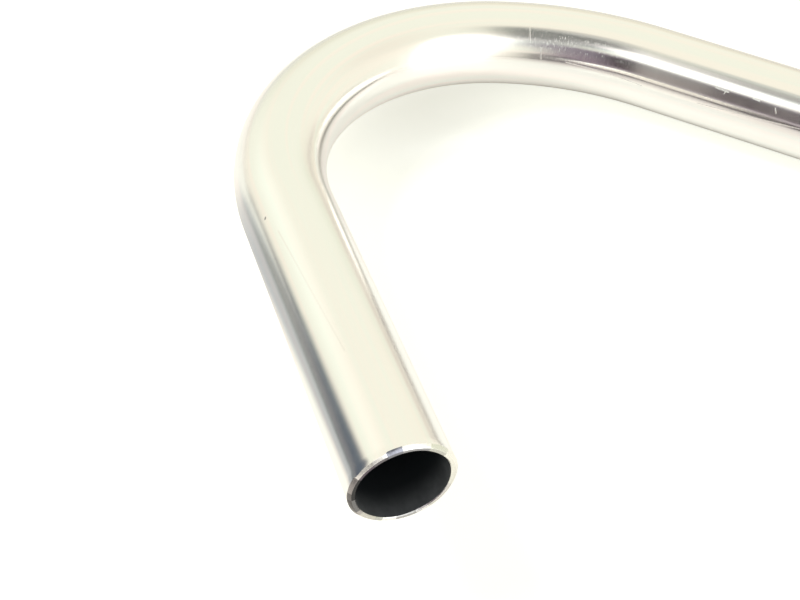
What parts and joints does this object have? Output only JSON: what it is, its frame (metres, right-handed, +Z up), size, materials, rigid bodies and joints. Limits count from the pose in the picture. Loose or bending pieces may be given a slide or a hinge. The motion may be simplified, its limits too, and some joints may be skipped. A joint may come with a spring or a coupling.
{
  "type": "moustache handlebar",
  "caption": "Satin-polished aluminium moustache bar for a bicycle: a swelled clamp zone, forward-swept halves and hooks that turn back to raised grips with open ends.",
  "frame": {"origin": "centre of the clamp zone, on the tube's centreline", "axes": "+X across the bar to the side of the right grip as modelled, +Y forward from the clamp towards the front of the hooks, +Z up, the side to which the grip ends rise"},
  "size_m": [0.5258, 0.1554, 0.0422],
  "materials": {
    "aluminium": "satin-polished bare aluminium with fine lengthwise grain, light scratches and small nicks"
  },
  "bodies": {
    "root": {"handlebar": "aluminium"}
  },
  "joints": []
}
